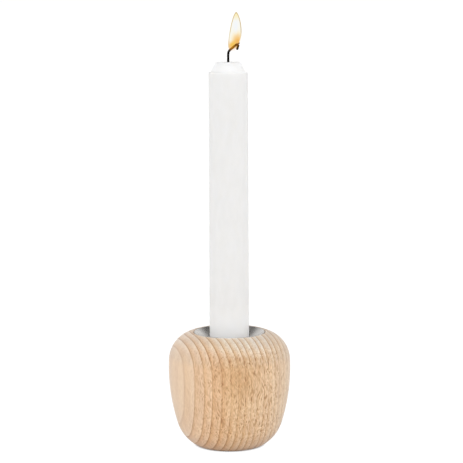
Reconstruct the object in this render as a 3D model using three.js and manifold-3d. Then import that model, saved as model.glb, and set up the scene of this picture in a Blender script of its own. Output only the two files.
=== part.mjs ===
// A turned beech candlestick with a steel drip bowl and socket, and the candle that stands in it.
//
// The wooden body has a conical seat in its mouth and a deep bore below it. A spun steel drip bowl lies in the seat.
// A drawn steel cup hangs in the bore: its flange lies on the bowl's floor, and one wood screw through the cup's
// floor pulls cup and bowl down into the wood. A felt disc in the foot keeps the wood off the table. The candle stands loose in
// the cup and lifts straight out.
//
// Millimetres, +Z up. The origin is the centre of the felt's underside, on the surface the candlestick stands on.

import * as THREE from "three";
import { mergeVertices } from "three/addons/utils/BufferGeometryUtils.js";
import Module from "manifold-3d";

const wasm = await Module();
wasm.setup();

// ---------------------------------------------------------------- driving dimensions

const DEGREE = Math.PI / 180;
const ROUND_SEGMENTS = 60; // facets around a large turned piece
const SMALL_SEGMENTS = 24; // and around the screw
const NEST_GAP = 0.3; // radial clearance between pieces that nest
const SEAT_GAP = 0.1; // clearance between faces that lie on each other

// Felt disc, let into the foot
const FELT_RADIUS = 15;
const FELT_THICKNESS = 1.6;
const FELT_PROUD = 0.4; // how far the felt carries the wood off the table
const FELT_EDGE = 0.25;

// Outside of the wooden body: a flat foot, then three tangent arcs up to the lip
const FOOT_RADIUS = 19.3;
const FOOT_RISE = 29.4 * DEGREE; // how steeply the belly leaves the foot
const BELLY = { radius: 21.2, turn: 43.1 * DEGREE, steps: 8 };
const FLANK = { radius: 103, turn: 20.3 * DEGREE, steps: 6 };
const SHOULDER = { radius: 16.2, turn: 76.4 * DEGREE, steps: 10 };
const LIP_RADIUS = 0.55; // rounding between the shoulder and the mouth
const PILOT_SPARE = 1; // the screw's hole runs on this far past its point

// Drip bowl and socket cup, both of the same sheet
const SHEET = 0.8;
const BOWL_PROUD = 0.1; // the bowl's edge stands this far over the lip
const BOWL_DEPTH = 5; // from the bowl's edge to its floor
const BOWL_FLARE = 43 * DEGREE; // how steeply the bowl's cone rises
const BOWL_BEND = 1; // between the floor and the cone, inside
const FLANGE_RADIUS = 13.3;
const FLANGE_BEND = 1.2; // the socket's mouth is flared by this radius
const CUP_CORNER = 1.5; // between the socket's wall and its floor

// Countersunk wood screw with a cross slot
const HEAD_RADIUS = 3.3;
const HEAD_RIM = 0.15;
const SHANK_RADIUS = 1.25;
const PLAIN_SHANK = 1;
const THREAD_RADIUS = 1.75;
const THREAD_PITCH = 1.4;
const SCREW_LENGTH = 16;
const SCREW_POINT = 2.8;
const SLOT_WIDTH = 0.9;
const SLOT_SPAN = 3.6;
const SLOT_DEPTH = 1.3;

// Candle: a straight moulded stick with a coned top
const CANDLE_RADIUS = 11;
const CANDLE_DRAFT = 0.25; // the shoulder is this much slimmer than the base
const CANDLE_LENGTH = 180;
const CANDLE_TOP_Z = 212.8;
const BASE_CHAMFER = 0.8;
const CONE_HEIGHT = 5.4;
const CONE_BASE_RADIUS = 9.65;
const CONE_TOP_RADIUS = 6.65;
const MELT_RADIUS = 5.4; // shallow dish around the wick, melted by the flame
const MELT_FLAT = 3.6;
const MELT_DEPTH = 0.35;

// Wick: up the candle's axis and 4.6 mm clear of the wax, then over to +X and hooked back down at its end, where
// one burnt strand has sprung free and stands on
const WICK_RADIUS = 0.53;
const WICK_SIDES = 10;
const WICK_BASE_GAP = 0.6; // the wick stops this far inside the candle's base
const WICK_ROOT = 1; // the bent end starts this far down in the wax
const WICK_LAP = 0.5; // and the straight stem ends this far above its start
const WICK_RISE = 4.6;
const WICK_BEND = { radius: 3.2, turn: 51 * DEGREE };
const WICK_SLOPE = 4.2;
const WICK_HOOK = { radius: 0.6, turn: 144 * DEGREE };
const WICK_TAIL = 2.3;
const SPUR_RADIUS = 0.28;
const SPUR_FROM = { x: 4.7, rise: 9.65 }; // out from the axis, and up from the wax
const SPUR_TO = { x: 6.4, rise: 10.7 };

// ---------------------------------------------------------------- outlines

const point = (r, z) => new THREE.Vector2(r, z);

// Points of an arc about (r, z) from one angle to another, its first point left out.
function arcPoints(r, z, radius, from, to, steps) {
  return Array.from({ length: steps }, (_, i) => {
    const angle = from + ((to - from) * (i + 1)) / steps;
    return point(r + radius * Math.cos(angle), z + radius * Math.sin(angle));
  });
}

// Left-turning arcs laid end to end, each tangent to the last.
function tangentArcs(start, startHeading, arcs) {
  const points = [start];
  let heading = startHeading;
  for (const { radius, turn, steps } of arcs) {
    const from = points.at(-1);
    const centreR = from.x - radius * Math.sin(heading);
    const centreZ = from.y + radius * Math.cos(heading);
    const angle = heading - Math.PI / 2;
    points.push(...arcPoints(centreR, centreZ, radius, angle, angle + turn, steps));
    heading += turn;
  }
  return { points, heading };
}

// A solid of revolution about +Z. The outline runs with its material on the left.
function turned(outline, segments = ROUND_SEGMENTS) {
  return new THREE.LatheGeometry(outline, segments).rotateX(Math.PI / 2);
}

// ---------------------------------------------------------------- joining and cutting

function solidOf(geometry) {
  const bare = geometry.clone().deleteAttribute("normal").deleteAttribute("uv");
  const merged = mergeVertices(bare, 1e-4);
  return new wasm.Manifold(new wasm.Mesh({
    numProp: 3,
    vertProperties: merged.attributes.position.array,
    triVerts: new Uint32Array(merged.index.array),
  }));
}

function geometryOf(solid) {
  const { vertProperties, triVerts } = solid.getMesh();
  return new THREE.BufferGeometry()
    .setAttribute("position", new THREE.BufferAttribute(vertProperties, 3))
    .setIndex(new THREE.BufferAttribute(triVerts, 1));
}

// ---------------------------------------------------------------- levels and bores that several pieces share

const side = tangentArcs(point(FOOT_RADIUS, FELT_PROUD), FOOT_RISE, [BELLY, FLANK, SHOULDER]);
const lipCentre = point(
  side.points.at(-1).x - LIP_RADIUS * Math.sin(side.heading),
  side.points.at(-1).y + LIP_RADIUS * Math.cos(side.heading),
);
const mouthRadius = lipCentre.x - LIP_RADIUS;
const bowlEdgeZ = lipCentre.y + LIP_RADIUS + BOWL_PROUD;
const bowlFloorZ = bowlEdgeZ - BOWL_DEPTH;
const flangeZ = bowlFloorZ + SEAT_GAP;
const candleBaseZ = CANDLE_TOP_Z - CANDLE_LENGTH;
const cupFloorZ = candleBaseZ - SEAT_GAP;
const cupInside = CANDLE_RADIUS + NEST_GAP;
const cupOutside = cupInside + SHEET;
const socketBore = cupOutside + NEST_GAP;
const screwTopZ = cupFloorZ - SEAT_GAP;
const wickHole = WICK_RADIUS + NEST_GAP;
const waxExitZ = CANDLE_TOP_Z - MELT_DEPTH;

// ---------------------------------------------------------------- wood and felt

function woodBody() {
  const feltRecess = FELT_RADIUS + NEST_GAP;
  const recessZ = FELT_THICKNESS + SEAT_GAP;
  const seatZ = bowlFloorZ - SHEET - SEAT_GAP;
  const seatRadius = mouthRadius - (lipCentre.y - seatZ) / Math.tan(BOWL_FLARE);
  const socketFloorZ = cupFloorZ - SHEET - SEAT_GAP;
  const countersink = HEAD_RADIUS + SHEET + NEST_GAP;
  const pilot = THREAD_RADIUS + NEST_GAP;
  const pilotEndZ = screwTopZ - SCREW_LENGTH - PILOT_SPARE;
  const lip = arcPoints(lipCentre.x, lipCentre.y, LIP_RADIUS, side.heading - Math.PI / 2, Math.PI, 4);
  return turned([
    point(0, recessZ),
    point(feltRecess, recessZ),
    point(feltRecess, FELT_PROUD),
    ...side.points,
    ...lip,
    point(seatRadius, seatZ),
    point(socketBore, seatZ),
    point(socketBore, socketFloorZ),
    point(countersink, socketFloorZ),
    point(pilot, socketFloorZ - countersink + pilot),
    point(pilot, pilotEndZ),
    point(0, pilotEndZ - pilot),
  ]);
}

function feltPad() {
  return turned([
    point(0, 0),
    point(FELT_RADIUS - FELT_EDGE, 0),
    point(FELT_RADIUS, FELT_EDGE),
    point(FELT_RADIUS, FELT_THICKNESS - FELT_EDGE),
    point(FELT_RADIUS - FELT_EDGE, FELT_THICKNESS),
    point(0, FELT_THICKNESS),
  ]);
}

// ---------------------------------------------------------------- steel

// The bowl is one sheet, with a flat floor, a bend and a cone whose edge is rounded.
function dripBowl() {
  const half = SHEET / 2;
  const quarter = Math.PI / 2;
  const flared = BOWL_FLARE - quarter;
  const edge = point(mouthRadius - NEST_GAP - half, bowlEdgeZ - half);
  const cornerRadius = edge.x - (edge.y - bowlFloorZ + half) / Math.tan(BOWL_FLARE);
  const bend = point(cornerRadius - (BOWL_BEND + half) * Math.tan(BOWL_FLARE / 2), bowlFloorZ + BOWL_BEND);
  const start = point(socketBore, bowlFloorZ - SHEET);
  return turned([
    start,
    point(bend.x, bowlFloorZ - SHEET),
    ...arcPoints(bend.x, bend.y, BOWL_BEND + SHEET, -quarter, flared, 3),
    ...arcPoints(edge.x, edge.y, half, flared, flared, 1),
    ...arcPoints(edge.x, edge.y, half, flared, flared + 2 * quarter, 5),
    ...arcPoints(bend.x, bend.y, BOWL_BEND, flared, flared, 1),
    ...arcPoints(bend.x, bend.y, BOWL_BEND, flared, -quarter, 3),
    point(socketBore, bowlFloorZ),
    start,
  ]);
}

// The cup's floor dips in the middle to take the screw's countersunk head.
function socketCup() {
  const quarter = Math.PI / 2;
  const flangeTop = flangeZ + SHEET;
  const dimple = HEAD_RADIUS + NEST_GAP;
  const hole = SHANK_RADIUS + NEST_GAP;
  const dimpleZ = cupFloorZ - dimple + hole;
  const start = point(hole, dimpleZ - SHEET);
  return turned([
    start,
    point(dimple, cupFloorZ - SHEET),
    point(cupOutside - CUP_CORNER, cupFloorZ - SHEET),
    ...arcPoints(cupOutside - CUP_CORNER, cupFloorZ - SHEET + CUP_CORNER, CUP_CORNER, -quarter, 0, 4),
    point(cupOutside, flangeZ),
    point(FLANGE_RADIUS, flangeZ),
    point(FLANGE_RADIUS, flangeTop),
    point(cupInside + FLANGE_BEND, flangeTop),
    ...arcPoints(cupInside + FLANGE_BEND, flangeTop - FLANGE_BEND, FLANGE_BEND, quarter, 2 * quarter, 4),
    point(cupInside, cupFloorZ + CUP_CORNER),
    ...arcPoints(cupInside - CUP_CORNER, cupFloorZ + CUP_CORNER, CUP_CORNER, 0, -quarter, 4),
    point(dimple, cupFloorZ),
    point(hole, dimpleZ),
    start,
  ]);
}

// The thread is a row of ridges with the screw's pitch and depth.
function socketScrew() {
  const neckZ = screwTopZ - HEAD_RIM - HEAD_RADIUS + SHANK_RADIUS;
  const tipZ = screwTopZ - SCREW_LENGTH;
  const threadTop = neckZ - PLAIN_SHANK;
  const turns = Math.floor((threadTop - tipZ - SCREW_POINT) / THREAD_PITCH);
  const thread = Array.from({ length: turns }, (_, i) => threadTop - (turns - i) * THREAD_PITCH)
    .flatMap((z) => [point(SHANK_RADIUS, z), point(THREAD_RADIUS, z + THREAD_PITCH / 2)]);
  const blank = turned([
    point(0, tipZ),
    ...thread,
    point(SHANK_RADIUS, threadTop),
    point(SHANK_RADIUS, neckZ),
    point(HEAD_RADIUS, screwTopZ - HEAD_RIM),
    point(HEAD_RADIUS, screwTopZ),
    point(0, screwTopZ),
  ], SMALL_SEGMENTS);
  const slot = (width, span) =>
    solidOf(new THREE.BoxGeometry(width, span, 2 * SLOT_DEPTH).translate(0, 0, screwTopZ));
  return geometryOf(
    solidOf(blank).subtract(slot(SLOT_WIDTH, SLOT_SPAN)).subtract(slot(SLOT_SPAN, SLOT_WIDTH)),
  );
}

// ---------------------------------------------------------------- candle

function candleWax() {
  const shoulderZ = CANDLE_TOP_Z - CONE_HEIGHT;
  const start = point(wickHole, candleBaseZ);
  return turned([
    start,
    point(CANDLE_RADIUS - BASE_CHAMFER, candleBaseZ),
    point(CANDLE_RADIUS, candleBaseZ + BASE_CHAMFER),
    point(CANDLE_RADIUS - CANDLE_DRAFT, shoulderZ),
    point(CONE_BASE_RADIUS, shoulderZ),
    point(CONE_TOP_RADIUS, CANDLE_TOP_Z),
    point(MELT_RADIUS, CANDLE_TOP_Z),
    point(MELT_FLAT, waxExitZ),
    point(wickHole, waxExitZ),
    start,
  ]);
}

// Centre line of the wick's bent end, in the XZ plane: straights and right-hand turns from inside the wax.
function wickBow() {
  const path = new THREE.CurvePath();
  let x = 0;
  let z = waxExitZ - WICK_ROOT;
  let heading = Math.PI / 2;
  const straight = (length) => {
    const from = new THREE.Vector3(x, 0, z);
    x += length * Math.cos(heading);
    z += length * Math.sin(heading);
    path.add(new THREE.LineCurve3(from, new THREE.Vector3(x, 0, z)));
  };
  const rightTurn = ({ radius, turn }, pieces) => {
    const chord = 2 * radius * Math.sin(turn / pieces / 2);
    for (let i = 0; i < pieces; i++) {
      heading -= turn / pieces / 2;
      straight(chord);
      heading -= turn / pieces / 2;
    }
  };
  straight(WICK_ROOT + WICK_RISE);
  rightTurn(WICK_BEND, 8);
  straight(WICK_SLOPE);
  rightTurn(WICK_HOOK, 10);
  straight(WICK_TAIL);
  return path;
}

function wick() {
  const stemTop = waxExitZ - WICK_ROOT + WICK_LAP;
  const stemBase = candleBaseZ + WICK_BASE_GAP;
  const stem = turned([
    point(0, stemBase),
    point(WICK_RADIUS, stemBase),
    point(WICK_RADIUS, stemTop),
    point(0, stemTop),
  ], WICK_SIDES);
  const section = new THREE.Shape().absarc(0, 0, WICK_RADIUS, 0, 2 * Math.PI);
  const bow = new THREE.ExtrudeGeometry(section, {
    steps: 44,
    curveSegments: WICK_SIDES / 2,
    extrudePath: wickBow(),
    bevelEnabled: false,
  });
  const onWick = ({ x, rise }) => new THREE.Vector3(x, 0, waxExitZ + rise);
  const spur = new THREE.ExtrudeGeometry(new THREE.Shape().absarc(0, 0, SPUR_RADIUS, 0, 2 * Math.PI), {
    steps: 2,
    curveSegments: WICK_SIDES / 2,
    extrudePath: new THREE.LineCurve3(onWick(SPUR_FROM), onWick(SPUR_TO)),
    bevelEnabled: false,
  });
  return geometryOf(solidOf(stem).add(solidOf(bow)).add(solidOf(spur)));
}

// ---------------------------------------------------------------- the assembly

const finish = (color, roughness, metalness) =>
  new THREE.MeshStandardMaterial({ color, roughness, metalness });
const beech = finish(0xe3c096, 0.6, 0);
const steel = finish(0xb9b8b4, 0.3, 1);
const zincPlate = finish(0xc6c8c9, 0.4, 1);
const greyFelt = finish(0x55514c, 1, 0);
const whiteWax = finish(0xf4f3f0, 0.45, 0);
const charredCotton = finish(0x16120f, 0.95, 0);

function place(group, name, geometry, material) {
  const mesh = new THREE.Mesh(geometry, material);
  mesh.name = name;
  group.add(mesh);
}

const holder = new THREE.Group();
place(holder, "wood_body", woodBody(), beech);
place(holder, "felt_pad", feltPad(), greyFelt);
place(holder, "drip_bowl", dripBowl(), steel);
place(holder, "socket_cup", socketCup(), steel);
place(holder, "socket_screw", socketScrew(), zincPlate);

const candle = new THREE.Group();
place(candle, "candle_wax", candleWax(), whiteWax);
place(candle, "wick", wick(), charredCotton);

const candlestick = new THREE.Group();
candlestick.add(holder, candle);

export default candlestick;
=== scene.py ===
"""The looks of a turned beech candlestick with its burning candle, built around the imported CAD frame.

Everything is in metres in the CAD's own frame: +Z up, the origin under the middle of the foot.
"""

import math

import bmesh
import bpy
import numpy as np
from mathutils import Matrix, Vector, noise


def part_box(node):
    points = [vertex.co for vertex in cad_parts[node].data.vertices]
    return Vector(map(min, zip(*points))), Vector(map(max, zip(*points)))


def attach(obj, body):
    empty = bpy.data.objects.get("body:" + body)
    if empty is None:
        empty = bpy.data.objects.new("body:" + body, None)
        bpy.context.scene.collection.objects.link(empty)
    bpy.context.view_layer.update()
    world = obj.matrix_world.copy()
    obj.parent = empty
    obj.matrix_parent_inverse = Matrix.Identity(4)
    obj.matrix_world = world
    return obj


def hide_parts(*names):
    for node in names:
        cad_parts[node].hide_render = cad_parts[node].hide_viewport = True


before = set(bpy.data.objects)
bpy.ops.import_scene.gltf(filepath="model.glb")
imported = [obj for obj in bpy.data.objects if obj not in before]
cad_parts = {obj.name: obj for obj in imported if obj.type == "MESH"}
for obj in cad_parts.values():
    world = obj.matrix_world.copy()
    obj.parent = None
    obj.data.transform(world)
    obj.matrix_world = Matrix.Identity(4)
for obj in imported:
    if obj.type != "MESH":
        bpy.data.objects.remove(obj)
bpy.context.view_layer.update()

MM = 0.001

# ------------------------------------------------------------------ the view

CAMERA_DISTANCE = 918 * MM
CAMERA_HEIGHT = 240.3 * MM
CAMERA_ASIDE = 1.42 * MM
CAMERA_PITCH = math.radians(7.487)  # looking down
CAMERA_ROLL = math.radians(-0.236)
LENS = 130.4  # on a 36 mm sensor

# ------------------------------------------------------------------ sizes that the frame doesn't give

ROUND = 240  # facets around a turned piece
SOFT_CORNER = math.radians(32)  # an outline turning less than this at a point is a curve there

# Melted pool around the wick
MELT_DEPTH = 0.35 * MM
MELT_RADIUS = 5.4 * MM

# Wick, as in the CAD: straight up, over to +X, and hooked back down. A bend is (radius, turn)
WICK_RISE = 4.6 * MM
WICK_BEND = (3.2 * MM, math.radians(51))
WICK_SLOPE = 4.2 * MM
WICK_HOOK = (0.6 * MM, math.radians(144))
WICK_TAIL = 2.3 * MM
STRAND_RADIUS = 0.44 * MM
STRAND_OFFSET = 0.25 * MM
BRAID_PITCH = 2.6 * MM

# A burnt strand that stands on past the hook, from and to (x, height over the wax)
SPUR_FROM = (4.7 * MM, 9.65 * MM)
SPUR_TO = (6.4 * MM, 10.7 * MM)
SPUR_RADIUS = 0.36 * MM

# Flame, measured from where the wick leaves the wax
FLAME_BASE = 6.0 * MM
FLAME_TIP = 27.4 * MM
FLAME_HALF_WIDTH = 3.35 * MM
FLAME_ASIDE = 2.2 * MM  # how far its middle stands off to +X at the base
FLAME_LEAN = 2.25 * MM  # and how much further at the tip
MANTLE = 0.5 * MM  # thickness of the golden skin around the white core


# ------------------------------------------------------------------ outlines and meshes


def outline_of(node):
    """The outline of a turned CAD node as (r, z) points, with its material on the left.

    It is read along the edges of the mesh that lie in the half plane towards +X.
    """
    mesh = bmesh.new()
    mesh.from_mesh(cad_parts[node].data)
    bmesh.ops.remove_doubles(mesh, verts=mesh.verts, dist=0.001 * MM)
    near = 0.002 * MM
    inside = {v for v in mesh.verts if abs(v.co.y) < near and v.co.x > -near}
    joined = {v: [] for v in inside}
    for edge in mesh.edges:
        a, b = edge.verts
        if a in inside and b in inside:
            joined[a].append(b)
            joined[b].append(a)
    ends = [v for v in inside if len(joined[v]) == 1]
    start = min(ends or inside, key=lambda v: v.co.z)
    path, before = [start], None
    while True:
        onward = [v for v in joined[path[-1]] if v is not before]
        if not onward or onward[0] is start:
            break
        before = path[-1]
        path.append(onward[0])
    points = [(max(v.co.x, 0.0), v.co.z) for v in path]
    closed = not ends
    mesh.free()
    area = sum(a[0] * b[1] - b[0] * a[1] for a, b in zip(points, points[1:] + points[:1]))
    if area < 0:
        points.reverse()
    return points, closed


def rounded(points, closed, edge):
    """The outline with every corner rounded: curves all the way, real corners only by edge."""
    count = len(points)
    result = []
    for i, at in enumerate(points):
        if not closed and i in (0, count - 1):
            result.append(at)
            continue
        at = np.array(at)
        back = np.array(points[i - 1]) - at
        ahead = np.array(points[(i + 1) % count]) - at
        back_length, ahead_length = np.linalg.norm(back), np.linalg.norm(ahead)
        back, ahead = back / back_length, ahead / ahead_length
        turn = math.pi - math.acos(max(-1.0, min(1.0, float(back @ ahead))))
        reach = min(back_length, ahead_length) / 2
        if turn > SOFT_CORNER:
            reach = min(reach, edge)
        steps = max(2, math.ceil(math.degrees(turn) / 3))
        for k in range(steps + 1):
            t = k / steps
            bent = at + back * reach * (1 - t) ** 2 + ahead * reach * t**2
            result.append(tuple(bent))
    tidy = [result[0]]
    for p in result[1:]:
        if math.dist(p, tidy[-1]) > 0.003 * MM:
            tidy.append(p)
    return tidy


def mesh_object(name, vertices, faces):
    mesh = bpy.data.meshes.new(name)
    mesh.from_pydata([tuple(v) for v in vertices], [], faces)
    mesh.validate()
    solid = bmesh.new()
    solid.from_mesh(mesh)
    bmesh.ops.recalc_face_normals(solid, faces=solid.faces)
    solid.to_mesh(mesh)
    solid.free()
    mesh.shade_smooth()
    piece = bpy.data.objects.new(name, mesh)
    bpy.context.scene.collection.objects.link(piece)
    return piece


def spun(name, outline, closed, around=ROUND):
    """A solid of revolution about +Z. An open outline starts and ends on the axis."""
    vertices, rings, faces = [], [], []
    for r, z in outline:
        if r < 0.001 * MM:
            rings.append([len(vertices)] * around)
            vertices.append((0, 0, z))
            continue
        rings.append(list(range(len(vertices), len(vertices) + around)))
        turns = [2 * math.pi * i / around for i in range(around)]
        vertices += [(r * math.cos(a), r * math.sin(a), z) for a in turns]
    pairs = list(zip(rings, rings[1:]))
    if closed:
        pairs.append((rings[-1], rings[0]))
    for low, high in pairs:
        for i in range(around):
            j = (i + 1) % around
            face = [low[i], low[j], high[j], high[i]]
            faces.append([v for k, v in enumerate(face) if v != face[k - 1]])
    return mesh_object(name, vertices, faces)


def turned_from(node, name, edge):
    """A fine turned piece with the outline of a CAD node, its edges broken by edge."""
    points, closed = outline_of(node)
    return spun(name, rounded(points, closed, edge), closed)


def tube(name, path, radii, sides=12):
    """A closed tube along path, with its own radius at each point."""
    path = [Vector(p) for p in path]
    vertices, faces = [], []
    side = Vector((0, 1, 0))
    for i, p in enumerate(path):
        along = (path[min(i + 1, len(path) - 1)] - path[max(i - 1, 0)]).normalized()
        side = (side - along * side.dot(along)).normalized()
        up = along.cross(side)
        for k in range(sides):
            a = 2 * math.pi * k / sides
            vertices.append(p + (side * math.cos(a) + up * math.sin(a)) * radii[i])
    for i in range(len(path) - 1):
        for k in range(sides):
            n = (k + 1) % sides
            faces.append([i * sides + k, i * sides + n, (i + 1) * sides + n, (i + 1) * sides + k])
    for ring, tip in ((0, path[0]), (len(path) - 1, path[-1])):
        vertices.append(tip)
        for k in range(sides):
            faces.append([ring * sides + k, ring * sides + (k + 1) % sides, len(vertices) - 1])
    return mesh_object(name, vertices, faces)


# ------------------------------------------------------------------ node trees


class Graph:
    """A material under construction. Each method adds one node and gives its output."""

    def __init__(self, name, tree=None):
        if tree is None:
            self.material = bpy.data.materials.new(name)
            self.material.use_nodes = True
            tree = self.material.node_tree
        self.tree = tree
        self.tree.nodes.clear()

    def add(self, kind, inputs, output=0, **settings):
        made = self.tree.nodes.new("ShaderNode" + kind)
        for key, value in settings.items():
            setattr(made, key, value)
        for key, value in inputs.items():
            if isinstance(value, bpy.types.NodeSocket):
                self.tree.links.new(value, made.inputs[key])
            else:
                made.inputs[key].default_value = value
        return made.outputs[output] if made.outputs else None

    def math(self, operation, *values, clamp=False):
        return self.add("Math", dict(enumerate(values)), operation=operation, use_clamp=clamp)

    def times(self, *values):
        """All the values multiplied together."""
        result = values[0]
        for value in values[1:]:
            result = self.math("MULTIPLY", result, value)
        return result

    def vector(self, operation, *values, output=0):
        names = dict(enumerate(values))
        if operation == "SCALE":
            names = {0: values[0], "Scale": values[1]}
        return self.add("VectorMath", names, output, operation=operation)

    def millimetres(self):
        """The point on the piece, in millimetres in the CAD's frame."""
        return self.vector("SCALE", self.add("TexCoord", {}, "Object"), 1000.0)

    def xyz(self, vector):
        parts = self.tree.nodes.new("ShaderNodeSeparateXYZ")
        self.tree.links.new(vector, parts.inputs[0])
        return tuple(parts.outputs)

    def point(self, x, y, z):
        return self.add("CombineXYZ", {0: x, 1: y, 2: z})

    def length(self, vector):
        return self.vector("LENGTH", vector, output=1)

    def from_axis(self, x, y):
        """How far (x, y) is from the vertical axis."""
        return self.math("SQRT", self.math("ADD", self.times(x, x), self.times(y, y)))

    def noise(self, vector, scale=1.0, detail=2.0, roughness=0.5, output=0):
        inputs = {"Vector": vector, "Scale": scale, "Detail": detail, "Roughness": roughness}
        return self.add("TexNoise", inputs, output)

    def range(self, value, low, high, to_low=0.0, to_high=1.0):
        inputs = {0: value, 1: low, 2: high, 3: to_low, 4: to_high}
        return self.add("MapRange", inputs)

    def ramp(self, factor, stops, interpolation="LINEAR"):
        """A colour ramp. Stops are (place, colour) or (place, grey)."""
        made = self.tree.nodes.new("ShaderNodeValToRGB")
        self.tree.links.new(factor, made.inputs[0])
        elements = made.color_ramp.elements
        made.color_ramp.interpolation = interpolation
        for place, _ in stops[2:]:
            elements.new(place)
        for element, (place, colour) in zip(elements, stops):
            element.position = place
            element.color = rgba(colour)
        return made.outputs[0]

    def mix(self, factor, a, b, blend="MIX"):
        inputs = {0: factor, 6: a, 7: b}
        inputs = {k: rgba(v) if k > 5 and not isinstance(v, bpy.types.NodeSocket) else v
                  for k, v in inputs.items()}
        return self.add("Mix", inputs, 2, data_type="RGBA", blend_type=blend)

    def product(self, *colours):
        """All the colours multiplied together."""
        result = colours[0]
        for colour in colours[1:]:
            result = self.mix(1.0, result, colour, "MULTIPLY")
        return result

    def bump(self, height, strength, distance):
        return self.add("Bump", {"Height": height, "Strength": strength, "Distance": distance})

    def principled(self, **inputs):
        named = {key.replace("_", " "): value for key, value in inputs.items()}
        for key in ("Base Color", "Emission Color"):
            if key in named and not isinstance(named[key], bpy.types.NodeSocket):
                named[key] = rgba(named[key])
        return self.add("BsdfPrincipled", named)

    def finish(self, shader):
        self.add("OutputMaterial", {"Surface": shader})
        return self.material


def rgba(colour):
    if isinstance(colour, (int, float)):
        return (colour, colour, colour, 1.0)
    return (*colour, 1.0)


# ------------------------------------------------------------------ beech

PITH_AZIMUTH = math.radians(14)  # the tree's middle lies this way from the body
PITH_DISTANCE = 100.0  # and this far, in mm
GRAIN_LEAN = math.tan(math.radians(2))
GRAIN_LEVEL = 32.0  # height where the leaning grain has its stated place
RINGS_FROM = -41.6  # the outermost ring's edge, in mm from the body's axis, bark side negative
# The years' growth in mm. The 4th to the 17th width are not free choices: they are the spacings of the dark
# lines in the photograph as a measuring script printed them, rounded to 0.1 mm.
RING_WIDTHS = (3.8, 3.8, 3.8, 3.5, 3.5, 3.1, 3.9, 4.0, 3.7, 3.7, 3.2, 3.4, 4.5, 3.1, 4.8, 3.2, 4.3,
               3.8, 3.6, 4.0, 3.7, 3.7)
HALF_BODY = 36.0  # mm across the grain from the body's axis that the ramps over depth cover

FLECK_WIDE, FLECK_TALL = 0.82, 4.8  # mm from one ray fleck to the next, across and along the grain
FLECK_SWAY = 4.5  # mm that the flecks' lines wander to the side

# A painted patch of shade, darker and warmer, high in front, in the grain's space (depth, around, height), in
# mm
SHADED_PATCH = (-7.0, -33.0, 43.5)
SHADED_PATCH_SIZE = (13.0, 20.0, 13.0)


def ring_age(g, depth):
    """Years counted across the rings, a whole number at each ring's dark edge."""
    span = sum(RING_WIDTHS)
    made = g.tree.nodes.new("ShaderNodeFloatCurve")
    g.tree.links.new(g.range(depth, RINGS_FROM, RINGS_FROM + span), made.inputs["Value"])
    curve = made.mapping.curves[0]
    reached = 0.0
    for year, width in enumerate(RING_WIDTHS[:-1], start=1):
        reached += width
        curve.points.new(reached / span, year / len(RING_WIDTHS))
    for spot in curve.points:
        spot.handle_type = "VECTOR"
    made.mapping.update()
    return g.math("MULTIPLY", made.outputs[0], float(len(RING_WIDTHS)))


def grain_space(g):
    """Depth across the rings from bark to pith, way around them, and height along the grain, all in mm.

    Depth is 0 on the body's axis and grows towards the pith.
    """
    spot = g.millimetres()
    wander = g.noise(g.vector("MULTIPLY", spot, (0.045, 0.045, 0.02)), output=1)
    wander = g.vector("SUBTRACT", wander, (0.5, 0.5, 0.5))
    spot = g.vector("ADD", spot, g.vector("SCALE", wander, 1.4))
    radial = (math.cos(PITH_AZIMUTH), math.sin(PITH_AZIMUTH), GRAIN_LEAN)
    across = (-math.sin(PITH_AZIMUTH), math.cos(PITH_AZIMUTH), 0.0)
    towards = g.vector("DOT_PRODUCT", spot, radial, output=1)
    towards = g.math("SUBTRACT", towards, GRAIN_LEAN * GRAIN_LEVEL)
    beside = g.vector("DOT_PRODUCT", spot, across, output=1)
    left = g.math("SUBTRACT", PITH_DISTANCE, towards)
    depth = g.math("SUBTRACT", PITH_DISTANCE, g.from_axis(left, beside))
    around = g.times(g.math("ARCTAN2", beside, left), PITH_DISTANCE)
    return depth, around, g.xyz(spot)[2]


def streaks(g, space, across, along, detail=1.0, output=0):
    """Noise drawn out along the grain: across and along are features per mm."""
    depth, around, height = space
    spot = g.point(g.times(depth, across), g.times(around, across), g.times(height, along))
    return g.noise(spot, detail=detail, output=output)


def ring_colour(g, depth, tilt):
    """Late wood: a thin brown line at each ring's edge, then tan that fades to pale before the next line.

    The lines are crisp where the surface cuts across the grain, and soft where it runs along it.
    """
    age = ring_age(g, depth)
    phase = g.math("FRACT", age)
    luck = g.add("TexWhiteNoise", {"W": g.math("FLOOR", age)}, "Value", noise_dimensions="1D")
    ring = g.ramp(phase, (
        (0.0, (0.57, 0.395, 0.26)),
        (0.05, (0.67, 0.50, 0.345)),
        (0.13, (0.90, 0.80, 0.66)),
        (0.3, (0.97, 0.92, 0.84)),
        (0.5, (1.01, 1.01, 1.02)),
        (0.75, (1.06, 1.12, 1.20)),
        (0.92, (1.11, 1.20, 1.33)),
        (0.96, (0.95, 0.92, 0.88)),
        (1.0, (0.57, 0.395, 0.26)),
    ))
    along_the_grain = g.range(depth, -20.0, -12.0, 0.6, 0.3)
    crisp = g.range(tilt, 0.05, 0.6, along_the_grain, 1.0)
    each = g.range(luck, 0.0, 1.0, 0.75, 1.0)
    bark_side = g.range(depth, -31.0, -27.0, 0.3, 1.0)
    return g.mix(g.times(crisp, g.times(each, bark_side)), 1.0, ring)


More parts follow.
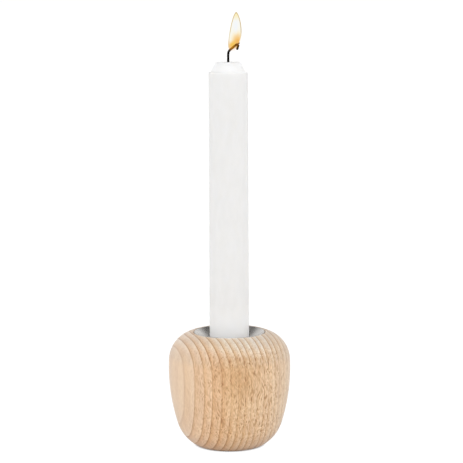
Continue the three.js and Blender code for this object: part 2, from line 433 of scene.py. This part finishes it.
def fleck_dashes(g, spot):
    """How dark a ray fleck is at a spot given in millimetres of the grain's space: ragged, no two alike."""
    sizes = (FLECK_WIDE, FLECK_WIDE, FLECK_TALL)
    spot = g.point(*(g.math("DIVIDE", value, size) for value, size in zip(spot, sizes)))
    ragged = g.noise(g.vector("SCALE", spot, 1.6), output=1)
    ragged = g.vector("SUBTRACT", ragged, (0.5, 0.5, 0.5))
    spot = g.vector("ADD", spot, g.vector("SCALE", ragged, 0.5))
    cell = {"Vector": spot, "Scale": 1.0, "Randomness": 0.9}
    luck = g.xyz(g.add("TexVoronoi", cell, "Color"))[0]
    dash = g.range(g.add("TexVoronoi", cell, "Distance"), 0.5, 0.2)
    return g.times(dash, g.range(luck, 0.1, 0.9, 0.15, 1.0))


def fleck_colour(g, space, tilt):
    """Ray flecks: short brown dashes along the grain on finely mottled wood, fewer towards the bark.

    The second value is the figure for the relief: high in the mottle, low in the dashes.
    """
    depth, around, height = space
    sway = g.vector("SUBTRACT", streaks(g, space, 0.11, 0.11, output=1), (0.5, 0.5, 0.5))
    x, y, _ = g.xyz(g.vector("SCALE", sway, FLECK_SWAY))
    swayed = (g.math("ADD", depth, x), g.math("ADD", around, y), height)
    dash = fleck_dashes(g, swayed)
    dashes = g.ramp(dash, (
        (0.0, (1.10, 1.13, 1.17)),
        (0.4, (0.89, 0.79, 0.67)),
        (1.0, (0.54, 0.36, 0.21)),
    ))
    mottle = streaks(g, swayed, 1.7, 0.5)
    mottled = g.ramp(g.range(mottle, 0.35, 0.65), ((0.0, (0.86, 0.81, 0.75)), (1.0, (1.12, 1.14, 1.18))))
    where = g.ramp(g.range(depth, -HALF_BODY, HALF_BODY), (
        (0.08, 0.1), (0.14, 0.35), (0.24, 0.8), (0.4, 0.9), (0.62, 1.0), (0.72, 0.9), (0.85, 0.6),
    ))
    share = g.times(g.xyz(where)[0], g.range(tilt, 0.3, 0.8, 1.0, 0.35))
    return g.mix(share, 1.0, g.product(dashes, mottled)), g.math("SUBTRACT", mottle, dash)


def beech_tint_and_painted_light(g, space, rise):
    """The wood's broad colour, with painted light and shade in it: by depth, by how far the surface looks up
    or down, and a darker, warmer painted patch of shade high in front.
    """
    depth, around, height = space
    # By depth: partly the wood's own colour, paler towards the bark, and partly painted light and shade,
    # paler to both sides and darker in the middle of the front.
    depth_tint_and_painted_light = g.ramp(g.range(depth, -HALF_BODY, HALF_BODY), (
        (0.0, (0.775, 0.56, 0.385)),
        (0.09, (0.775, 0.555, 0.37)),
        (0.17, (0.745, 0.50, 0.305)),
        (0.27, (0.705, 0.445, 0.243)),
        (0.38, (0.695, 0.455, 0.252)),
        (0.5, (0.70, 0.475, 0.28)),
        (0.62, (0.70, 0.48, 0.29)),
        (0.75, (0.69, 0.49, 0.31)),
        (0.88, (0.71, 0.52, 0.345)),
        (1.0, (0.80, 0.62, 0.435)),
    ))
    # Painted sheen: where the surface faces up, the shoulder most, the wood is made paler and bluer, as the
    # light from above shines on it.
    painted_sheen_mask = g.times(g.range(rise, 0.4, 0.78), g.range(depth, -27.0, -12.0, 0.35, 1.0))
    painted_sheen_mask = g.times(painted_sheen_mask, g.range(depth, 8.0, 22.0, 1.0, 0.1))
    painted_top_sheen = g.mix(painted_sheen_mask, 1.0, (1.12, 1.36, 1.80))
    # Painted light and shade by how the surface faces: dark where it faces down, for the shade under the body
    # and at the foot's edge, and lighter and darker bands on the slopes as the light falls on them.
    painted_light_by_facing = g.ramp(g.range(rise, -1.0, 1.0), (
        (0.02, (0.62, 0.53, 0.44)),
        (0.06, (0.90, 0.89, 0.90)),
        (0.15, (0.94, 0.95, 1.0)),
        (0.32, (1.045, 1.07, 1.11)),
        (0.45, (1.03, 1.04, 1.05)),
        (0.54, (1.0, 1.0, 1.0)),
        (0.63, (0.935, 0.96, 1.0)),
        (0.72, (0.94, 0.96, 1.0)),
        (0.8, (1.0, 1.01, 1.02)),
    ))
    # Painted shade: darker and warmer high in front, where the front is least lit.
    from_patch = g.vector("SUBTRACT", g.point(depth, around, height), SHADED_PATCH)
    from_patch = g.length(g.vector("DIVIDE", from_patch, SHADED_PATCH_SIZE))
    painted_shade_patch = g.mix(g.range(from_patch, 1.15, 0.3), 1.0, (0.88, 0.815, 0.73))
    return g.product(depth_tint_and_painted_light, painted_top_sheen, painted_light_by_facing, painted_shade_patch)


def beech():
    """Bare beech: growth rings, ray flecks, broad bands and fine fibres, with a little relief, and painted
    light and shade in its broad colour.
    """
    g = Graph("beech")
    space = grain_space(g)
    rise = g.xyz(g.add("TexCoord", {}, "Normal"))[2]
    tilt = g.math("ABSOLUTE", rise)
    rings = ring_colour(g, space[0], tilt)
    flecks, figure = fleck_colour(g, space, tilt)
    bands = g.ramp(g.range(streaks(g, space, 0.42, 0.012, 2.0), 0.3, 0.7), (
        (0.0, (0.95, 0.93, 0.92)), (0.5, (1.0, 1.0, 1.0)), (1.0, (1.05, 1.07, 1.07)),
    ))
    fibre = streaks(g, space, 4.0, 0.25, 3.0)
    threads = g.ramp(g.range(fibre, 0.3, 0.7), ((0.0, (0.95, 0.935, 0.91)), (1.0, (1.05, 1.065, 1.09))))
    colour = g.product(beech_tint_and_painted_light(g, space, rise), rings, flecks, bands, threads)
    rough = g.range(fibre, 0.3, 0.7, 0.42, 0.54)
    relief = g.math("ADD", g.times(fibre, 0.4), g.times(figure, 0.35))
    relief = g.math("ADD", relief, g.times(g.xyz(rings)[2], 0.3))
    return g.finish(g.principled(
        Base_Color=colour, Roughness=rough, Sheen_Weight=0.35, Sheen_Roughness=0.45,
        Normal=g.bump(relief, 0.3, 0.08 * MM)))


# ------------------------------------------------------------------ steel, felt, wax, wick


def steel(name, colour, marks):
    """Satin steel with fine circular marks from spinning; marks is how strongly they show."""
    g = Graph(name)
    x, y, z = g.xyz(g.millimetres())
    across = g.point(g.times(g.from_axis(x, y), 9.0), g.times(z, 9.0), 0.0)
    circles = g.noise(across, detail=4.0, roughness=0.7)
    cloud = g.noise(g.point(x, y, z), 0.25, 3.0)
    shade = g.mix(g.range(circles, 0.3, 0.7), colour, tuple(0.86 * c for c in colour))
    rough = g.math("ADD", g.range(circles, 0.3, 0.7, 0.20, 0.30), g.range(cloud, 0.3, 0.7, 0.0, 0.08))
    tangent = g.add("Tangent", {}, direction_type="RADIAL", axis="Z")
    return g.finish(g.principled(Base_Color=shade, Metallic=1.0, Roughness=rough, Anisotropic=0.55,
                                 Tangent=tangent, Normal=g.bump(circles, marks, 0.02 * MM)))


def felt():
    """Dense dark grey wool felt."""
    g = Graph("felt")
    spot = g.millimetres()
    tangle = g.noise(g.vector("MULTIPLY", spot, (3.0, 3.0, 6.0)), detail=5.0, roughness=0.75)
    clumps = g.noise(spot, 0.5, 3.0)
    colour = g.ramp(tangle, ((0.3, (0.075, 0.07, 0.066)), (0.7, (0.19, 0.18, 0.17))))
    colour = g.mix(0.35, colour, g.ramp(clumps, ((0.3, (0.10, 0.095, 0.09)), (0.7, (0.17, 0.16, 0.15)))))
    return g.finish(g.principled(Base_Color=colour, Roughness=0.95, Sheen_Weight=0.4, Sheen_Roughness=0.6,
                                 Normal=g.bump(tangle, 0.8, 0.25 * MM)))


# Heights in mm on the candle where its wax changes: where the painted light on the cone begins and is full,
# and where the painted light by the bowl fades in and out
CONE_PAINTED_LIGHT_FROM, CONE_PAINTED_LIGHT_FULL = 206.0, 208.5
BY_BOWL, ABOVE_BOWL = 62.0, 80.0
IN_SOCKET, UNDER_BOWL = 40.0, 60.0


def wax(pool_radius, pool_z):
    """White stearin, satin on the sides and wet in the melted pool around the wick.

    It has painted light: it is whitest on the cone, and lighter where it enters the bowl, where it also glows
    faintly against the shade there.
    """
    g = Graph("wax")
    spot = g.millimetres()
    x, y, z = g.xyz(spot)
    in_pool = g.range(g.from_axis(x, y), pool_radius / MM, pool_radius / MM - 0.7)
    wet = g.times(in_pool, g.range(z, pool_z / MM - 1.0, pool_z / MM - 0.6))
    bloom = g.noise(g.vector("MULTIPLY", spot, (0.35, 0.35, 0.12)), detail=3.0)
    grain = g.noise(spot, 2.2, 4.0, 0.65)
    # Painted light by the bowl: lighter wax and a faint glow, against the shade that the bowl and the wood's
    # lip cast there.
    painted_light_near_bowl = g.times(g.range(z, ABOVE_BOWL, BY_BOWL), g.range(z, IN_SOCKET, UNDER_BOWL, 0.4, 1.0))
    colour = g.ramp(bloom, ((0.3, (0.795, 0.79, 0.78)), (0.7, (0.82, 0.815, 0.81))))
    colour = g.mix(painted_light_near_bowl, colour, (0.895, 0.89, 0.885))
    # Painted light: the cone's wax is made whiter, as the light from above falls on it.
    colour = g.mix(g.range(z, CONE_PAINTED_LIGHT_FROM, CONE_PAINTED_LIGHT_FULL), colour, (0.94, 0.94, 0.94))
    colour = g.mix(wet, colour, (0.86, 0.85, 0.82))
    rough = g.add("Mix", {0: wet, 2: g.range(grain, 0.3, 0.7, 0.36, 0.46), 3: 0.06})
    relief = g.times(grain, g.math("SUBTRACT", 1.0, wet))
    return g.finish(g.principled(
        Base_Color=colour, Roughness=rough, IOR=1.43, Subsurface_Weight=0.9,
        Subsurface_Radius=(1.0, 0.97, 0.92), Subsurface_Scale=12 * MM,
        Emission_Color=(0.96, 0.98, 1.0), Emission_Strength=g.times(painted_light_near_bowl, 0.03),
        Normal=g.bump(relief, 0.15, 0.05 * MM)))


def wick_cotton(wax_z, crest):
    """Cotton, white in the wax, charred black above it, with an ember at its highest point."""
    g = Graph("wick_cotton")
    spot = g.millimetres()
    z = g.xyz(spot)[2]
    fuzz = g.noise(spot, 6.0, 4.0, 0.7)
    clean = g.range(z, wax_z / MM + 0.2, wax_z / MM - 0.6)
    char = g.ramp(fuzz, ((0.3, (0.001, 0.001, 0.001)), (0.7, (0.006, 0.005, 0.004))))
    colour = g.mix(clean, char, (0.82, 0.80, 0.74))
    near = g.length(g.vector("SUBTRACT", spot, tuple(c / MM for c in crest)))
    ember = g.range(near, 1.1, 0.2)
    return g.finish(g.principled(
        Base_Color=colour, Roughness=0.95, Specular_IOR_Level=0.05, Emission_Color=(1.0, 0.22, 0.04),
        Emission_Strength=g.times(ember, g.range(fuzz, 0.4, 0.7, 0.05, 0.35)),
        Normal=g.bump(fuzz, 0.8, 0.08 * MM)))


# ------------------------------------------------------------------ flame


def flame_middle(t):
    """How far the flame's middle stands off to +X, at t from 0 at its base to 1 at its tip."""
    return FLAME_ASIDE + FLAME_LEAN * (1 - (1 - t) ** 2.6)


def flame_radius(t):
    """Half width of the flame: full low down, drawn out to a point."""
    swell, taper = 0.38, 0.64
    widest = swell / (swell + taper)
    most = widest**swell * (1 - widest) ** taper
    return FLAME_HALF_WIDTH * t**swell * (1 - t) ** taper / most


def flame_shell(name, origin, inset, low, high, rings=80, around=48):
    """A closed skin of the flame, inset from its outside, between heights low and high."""
    outline = []
    for i in range(rings + 1):
        z = low + (high - low) * (1 - math.cos(math.pi * i / rings)) / 2
        t = min(max((z - FLAME_BASE) / (FLAME_TIP - FLAME_BASE), 0.0), 1.0)
        r = max(flame_radius(t) - inset, 0.0) if 0 < i < rings else 0.0
        if 0 < i < rings and r < 0.02 * MM:
            continue
        outline.append((flame_middle(t), r, z))
    vertices, loops, faces = [], [], []
    for x, r, z in outline:
        count = around if r else 1
        loops.append([len(vertices) + k % count for k in range(around)])
        turns = [2 * math.pi * k / around for k in range(count)]
        vertices += [origin + Vector((x + r * math.cos(a), r * math.sin(a), z)) for a in turns]
    for lower, upper in zip(loops, loops[1:]):
        for k in range(around):
            n = (k + 1) % around
            face = [lower[k], lower[n], upper[n], upper[k]]
            faces.append([v for j, v in enumerate(face) if v != face[j - 1]])
    piece = mesh_object(name, vertices, faces)
    piece.visible_shadow = False
    return piece


# Places in the flame, in mm from where the wick leaves the wax, as (x, z)
ORANGE_AT = (5.2, 10.5)
HEART_AT, HEART_SIZE = (4.2, 20.0), (1.7, 5.5)


class FlameLook:
    """What is seen of the flame at a point: the mantle's light and cover, and the core's behind it.

    The mantle lies in front of the core, so the core's light is what the mantle leaves to be seen of
    the glow.
    """

    def __init__(self, name, origin):
        self.g = g = Graph(name)
        spot = g.vector("SUBTRACT", g.millimetres(), tuple(c / MM for c in origin))
        x, y, z = g.xyz(spot)
        self.glow = self.glow_colour(x, z)
        self.skin = self.skin_colour(x, z)
        self.skin_cover = self.skin_thickness(x, z)
        behind = g.range(y, -0.4, 0.3)
        over_wick = g.range(z, 10.0, 13.0)
        self.core_cover = g.times(g.range(z, 7.2, 9.2, 0.0, 0.96), g.math("MAXIMUM", behind, over_wick))

    def glow_colour(self, x, z):
        """The light of the whole flame: orange over the hook, gold low down and at the tip, white between."""
        g = self.g
        off = g.times(g.math("SUBTRACT", x, ORANGE_AT[0]), 1.35)
        rise = g.math("DIVIDE", g.math("SUBTRACT", z, ORANGE_AT[1]), 1.25)
        glow = g.ramp(g.range(g.length(g.point(off, 0.0, rise)), 0.0, 8.0), (
            (0.0, (0.86, 0.42, 0.12)),
            (0.16, (0.88, 0.47, 0.15)),
            (0.3, (0.93, 0.60, 0.23)),
            (0.45, (0.94, 0.72, 0.42)),
            (0.58, (0.98, 0.87, 0.63)),
            (0.74, (0.96, 0.94, 0.84)),
            (1.0, (0.95, 0.95, 0.90)),
        ))
        aslant = g.math("SUBTRACT", z, g.times(x, 0.4))
        gold = g.times(g.range(aslant, 11.4, 9.3, 0.0, 0.95), g.range(x, -0.2, 1.4, 0.4, 1.0))
        gold = g.times(gold, g.range(x, 3.2, 4.8, 1.0, 0.35))
        glow = g.mix(gold, glow, (0.92, 0.56, 0.09))
        from_heart = g.point(g.math("DIVIDE", g.math("SUBTRACT", x, HEART_AT[0]), HEART_SIZE[0]), 0.0,
                             g.math("DIVIDE", g.math("SUBTRACT", z, HEART_AT[1]), HEART_SIZE[1]))
        glow = g.mix(g.range(g.length(from_heart), 1.0, 0.2), glow, (0.90, 0.93, 0.96))
        return g.mix(g.range(z, 22.5, 26.0, 0.0, 0.85), glow, (0.97, 0.84, 0.42))

    def skin_colour(self, x, z):
        """The mantle's own light: tan along the outline, deep orange low down in front of the wick."""
        g = self.g
        skin = g.mix(g.range(x, 0.5, 6.5), (0.72, 0.58, 0.28), (0.58, 0.40, 0.13))
        skin = g.mix(g.range(z, 21.0, 26.0), skin, (0.62, 0.43, 0.13))
        low = g.mix(g.range(z, 10.5, 13.0), (0.95, 0.38, 0.02), self.glow)
        low = g.mix(g.range(x, 1.2, 0.1), low, (0.70, 0.50, 0.18))
        return g.mix(g.range(z, 12.0, 17.0), low, skin)

    def skin_thickness(self, x, z):
        """How much the mantle covers: nothing at the base, little before the hook, most at the edge to -X."""
        g = self.g
        cover = g.xyz(g.ramp(g.range(z, 6.0, 18.0), (
            (0.0, 0.0), (0.08, 0.15), (0.2, 0.55), (0.45, 0.5), (0.75, 0.6), (1.0, 0.6))))[0]
        clear = g.times(g.range(x, 2.0, 4.4, 0.0, 0.75), g.range(z, 14.5, 12.0))
        cover = g.times(cover, g.math("SUBTRACT", 1.0, clear))
        thick = g.times(g.range(x, 1.1, 0.1), g.range(z, 7.5, 9.5, 0.0, 0.2))
        return g.math("MINIMUM", g.math("ADD", cover, thick), 0.7)

    def material(self, light, cover):
        g = self.g
        shine = g.add("Emission", {"Color": light, "Strength": 1.0})
        return g.finish(g.add("MixShader", {0: cover, 1: g.add("BsdfTransparent", {}), 2: shine}))


def mantle_material(origin):
    look = FlameLook("flame_mantle", origin)
    return look.material(look.skin, look.skin_cover)


def core_material(origin):
    look = FlameLook("flame_core", origin)
    g = look.g
    hidden = g.vector("SCALE", look.skin, look.skin_cover)
    left = g.math("DIVIDE", 1.0, g.math("SUBTRACT", 1.0, look.skin_cover))
    light = g.vector("SCALE", g.vector("SUBTRACT", look.glow, hidden), left)
    return look.material(g.vector("MAXIMUM", light, (0.0, 0.0, 0.0)), look.core_cover)


# ------------------------------------------------------------------ the wick's line


def wick_line(base, step=0.22 * MM):
    """Points along the wick's middle, from its base inside the candle to its hooked end."""
    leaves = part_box("candle_wax")[1].z - MELT_DEPTH
    points = [Vector((0, 0, base))]
    heading = math.pi / 2

    def straight(length):
        start = points[-1].copy()
        ahead = Vector((math.cos(heading), 0, math.sin(heading)))
        count = max(1, round(length / step))
        points.extend(start + ahead * (length * (k + 1) / count) for k in range(count))

    straight(leaves - base + WICK_RISE)
    for bend, length in ((WICK_BEND, WICK_SLOPE), (WICK_HOOK, WICK_TAIL)):
        radius, turn = bend
        count = max(4, round(radius * turn / step))
        for _ in range(count):
            heading -= turn / count / 2
            ahead = Vector((math.cos(heading), 0, math.sin(heading)))
            points.append(points[-1] + ahead * (2 * radius * math.sin(turn / count / 2)))
            heading -= turn / count / 2
        straight(length)
    return points, leaves


def braided_wick():
    """Three strands twisted round the wick's line and a spur, a little ragged where they are charred.

    The result is the piece, the height where it leaves the wax, and its highest point.
    """
    line, leaves = wick_line(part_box("wick")[0].z)
    travelled = [0.0]
    for a, b in zip(line, line[1:]):
        travelled.append(travelled[-1] + (b - a).length)
    strands = []
    for strand in range(3):
        path, radii = [], []
        for i, p in enumerate(line):
            along = (line[min(i + 1, len(line) - 1)] - line[max(i - 1, 0)]).normalized()
            side = Vector((0, 1, 0))
            up = along.cross(side)
            a = 2 * math.pi * (travelled[i] / BRAID_PITCH + strand / 3)
            burnt = min(max((p.z - leaves) / (1.5 * MM), 0.0), 1.0)
            ragged = 1 + 0.16 * burnt * noise.noise(Vector((travelled[i] / (0.9 * MM), strand * 7.0, 0.5)))
            end = min(1.0, 0.35 + (travelled[-1] - travelled[i]) / (0.8 * MM))
            path.append(p + (side * math.cos(a) + up * math.sin(a)) * STRAND_OFFSET * end)
            radii.append(STRAND_RADIUS * ragged * end)
        strands.append(tube(f"strand_{strand}", path, radii, sides=10))
    strands.append(spur(leaves))
    piece = joined("braided_wick", strands)
    crest = max(line, key=lambda p: p.z)
    return piece, leaves, crest


def spur(leaves):
    """The burnt strand that has sprung free at the hook, a little bowed, down to a ragged point."""
    start, end = (Vector((x, 0, leaves + rise)) for x, rise in (SPUR_FROM, SPUR_TO))
    steps = 12
    path, radii = [], []
    for k in range(steps + 1):
        t = k / steps
        path.append(start.lerp(end, t) + Vector((0, 0, 0.1 * MM)) * math.sin(math.pi * t))
        ragged = 1 + 0.12 * noise.noise(Vector((5.0 * t, 2.0, 0.0)))
        radii.append(SPUR_RADIUS * (1 - 0.45 * t**3) * ragged)
    return tube("spur", path, radii, sides=10)


def joined(name, parts):
    """One piece made of several closed meshes."""
    whole = bmesh.new()
    for part in parts:
        whole.from_mesh(part.data)
        bpy.data.objects.remove(part)
    mesh = bpy.data.meshes.new(name)
    whole.to_mesh(mesh)
    whole.free()
    mesh.shade_smooth()
    piece = bpy.data.objects.new(name, mesh)
    bpy.context.scene.collection.objects.link(piece)
    return piece


# ------------------------------------------------------------------ putting it together


def settle(piece, body, slot, material, *nodes):
    """Gives a piece its material and body, and hides the CAD nodes that it stands for. Its slot is not used.
    """
    piece.data.materials.clear()
    piece.data.materials.append(material)
    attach(piece, body)
    if nodes:
        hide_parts(*nodes)


def holder():
    """The wooden body with its foot felt, bowl, cup and screw."""
    bowl_steel = steel("bowl_steel", (0.79, 0.765, 0.735), 0.25)
    for node, name, edge, slot, material in (
        ("wood_body", "turned_body", 0.35 * MM, "beech", beech()),
        ("felt_pad", "foot_felt", 0.3 * MM, "felt", felt()),
        ("drip_bowl", "spun_bowl", 0.15 * MM, "bowl_steel", bowl_steel),
        ("socket_cup", "drawn_cup", 0.15 * MM, "bowl_steel", bowl_steel),
    ):
        settle(turned_from(node, name, edge), "holder", slot, material, node)
    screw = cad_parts["socket_screw"]
    screw.data.materials.clear()
    screw.data.materials.append(steel("screw_steel", (0.66, 0.67, 0.68), 0.1))


def candle():
    """The wax and the wick. The result is where the wick leaves the wax."""
    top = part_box("candle_wax")[1].z
    stick = turned_from("candle_wax", "candle_stick", 0.3 * MM)
    settle(stick, "candle", "wax", wax(MELT_RADIUS, top), "candle_wax")
    wick, leaves, crest = braided_wick()
    settle(wick, "candle", "wick_cotton", wick_cotton(leaves, crest), "wick")
    return Vector((0, 0, leaves))


def flame(origin):
    """The burning flame, which rides on the candle."""
    mantle = flame_shell("flame_mantle", origin, 0.0, FLAME_BASE, FLAME_TIP)
    core = flame_shell("flame_core", origin, MANTLE, FLAME_BASE + 1.2 * MM, FLAME_TIP - 0.9 * MM)
    settle(mantle, "candle", "flame", mantle_material(origin))
    settle(core, "candle", "flame", core_material(origin))


def floor():
    """A sheet of pale paper with painted light: it glows, washed out towards white away from the foot, which
    hides its shadow, and the glow that lights the holder comes only from farther out, leaving it darker round
    the foot.
    """
    side = 6.0
    corners = [(-side, -side, 0), (side, -side, 0), (side, side, 0), (-side, side, 0)]
    sheet = mesh_object("floor", corners, [[0, 1, 2, 3]])
    g = Graph("floor")
    mottle = g.noise(g.millimetres(), 0.01, 2.0)
    colour = g.ramp(mottle, ((0.0, 0.90), (1.0, 0.92)))
    paper = g.add("BsdfDiffuse", {"Color": colour, "Roughness": 0.5})
    lit = g.add("Emission", {"Color": rgba(1.0), "Strength": 1.08})
    away = g.length(g.millimetres())
    # Painted light: the glow that lights the holder, none near the foot and more farther out.
    painted_glow_off_camera = g.range(away, 45.0, 130.0, 0.0, 0.4)
    # Painted light: to the camera the paper glows white everywhere but right by the foot.
    seen = g.range(away, 18.0, 20.5, 0.0, 0.96)
    washed = g.add("Mix", {0: g.add("LightPath", {}, "Is Camera Ray"), 2: painted_glow_off_camera, 3: seen})
    sheet.data.materials.append(g.finish(g.add("MixShader", {0: washed, 1: paper, 2: lit})))


def studio():
    """White all round: a broad light high in front, a strip on each side, a dark room over the back."""
    world = bpy.data.worlds.new("studio")
    world.use_nodes = True
    bpy.context.scene.world = world
    g = Graph("studio", world.node_tree)
    aside, back, up = g.xyz(g.add("TexCoord", {}, "Generated"))
    to_side = g.math("ABSOLUTE", aside)
    high = g.times(g.range(back, -0.1, -0.45, 0.0, 0.65), g.range(up, 0.25, 0.55))
    strips = g.times(g.range(to_side, 0.55, 0.85, 0.0, 0.45), g.range(up, -0.2, 0.1))
    dark = g.times(g.range(back, -0.3, -0.05, 0.0, 0.88), g.range(up, 0.46, 0.62))
    room = g.math("ADD", 0.9, g.math("ADD", high, strips))
    room = g.times(room, g.math("SUBTRACT", 1.0, dark))
    seen = g.add("LightPath", {}, "Is Camera Ray")
    shade = g.mix(seen, g.point(room, room, room), 1.05)
    g.add("OutputWorld", {"Surface": g.add("Background", {"Color": shade, "Strength": 1.0})})


def camera():
    """The photographic view, from in front and a little above."""
    eye = bpy.data.cameras.new("camera")
    eye.lens = LENS
    eye.sensor_width = 36
    eye.clip_start, eye.clip_end = 0.01, 50
    stand = bpy.data.objects.new("camera", eye)
    stand.location = (CAMERA_ASIDE, -CAMERA_DISTANCE, CAMERA_HEIGHT)
    turn = Matrix.Rotation(math.pi / 2 - CAMERA_PITCH, 3, "X") @ Matrix.Rotation(CAMERA_ROLL, 3, "Z")
    stand.rotation_euler = turn.to_euler()
    bpy.context.scene.collection.objects.link(stand)
    bpy.context.scene.camera = stand
    bpy.context.scene.view_settings.view_transform = "Standard"


camera()
studio()
floor()
holder()
flame(candle())
